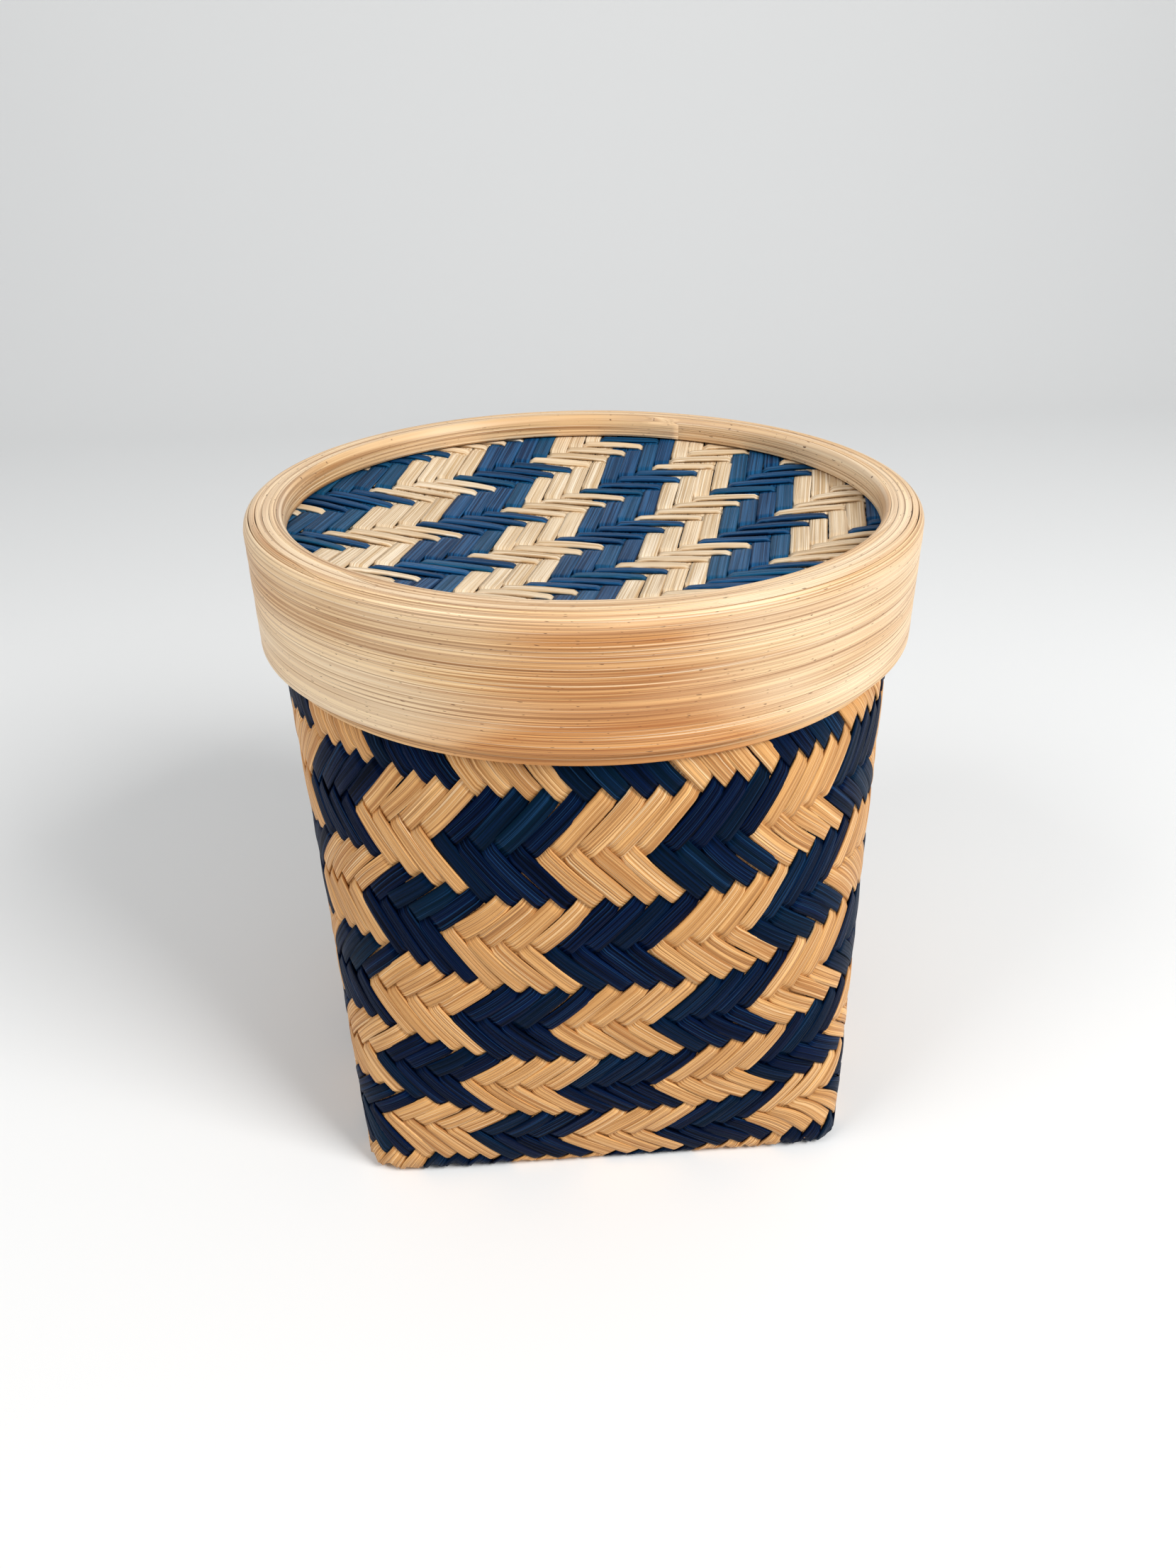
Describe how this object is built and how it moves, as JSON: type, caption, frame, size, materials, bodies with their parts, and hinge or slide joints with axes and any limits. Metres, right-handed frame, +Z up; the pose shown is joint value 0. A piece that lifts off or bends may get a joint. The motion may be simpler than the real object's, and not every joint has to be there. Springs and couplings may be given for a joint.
{
  "type": "lidded basket",
  "caption": "Plaited bamboo basket with a square base and round mouth, closed by a lift-off lid with a bent bamboo rim and a dished plaited panel.",
  "frame": {"origin": "middle of the base's underside, on the surface the basket stands on", "axes": "+Z up through the lid, the square base's sides along X and Y, -Y the pictured side"},
  "size_m": [0.2, 0.2, 0.2035],
  "materials": {
    "bamboo_splint": "natural split bamboo, fine fibres along the splint, satin",
    "bamboo_dyed": "split bamboo dyed deep navy blue, fine fibres, satin",
    "bamboo_hoop": "bent bamboo strip, long grain round the hoop, scraped smooth, satin"
  },
  "bodies": {
    "basket": {"woven_body": "bamboo_splint", "body_outer_hoop": "bamboo_hoop", "body_inner_hoop": "bamboo_hoop"},
    "lid": {"lid_outer_band": "bamboo_hoop", "lid_backing_band": "bamboo_hoop", "lid_rim_ply_1": "bamboo_hoop", "lid_rim_ply_2": "bamboo_hoop", "lid_rim_ply_3": "bamboo_hoop", "lid_rim_ply_4": "bamboo_hoop", "lid_stop_hoop": "bamboo_hoop", "lid_woven_panel": "bamboo_dyed"}
  },
  "joints": [
    {"name": "lid_lift", "type": "slide", "parent": "basket", "child": "lid", "axis": [0, 0, 1], "range_m": [0, 0.06]}
  ]
}
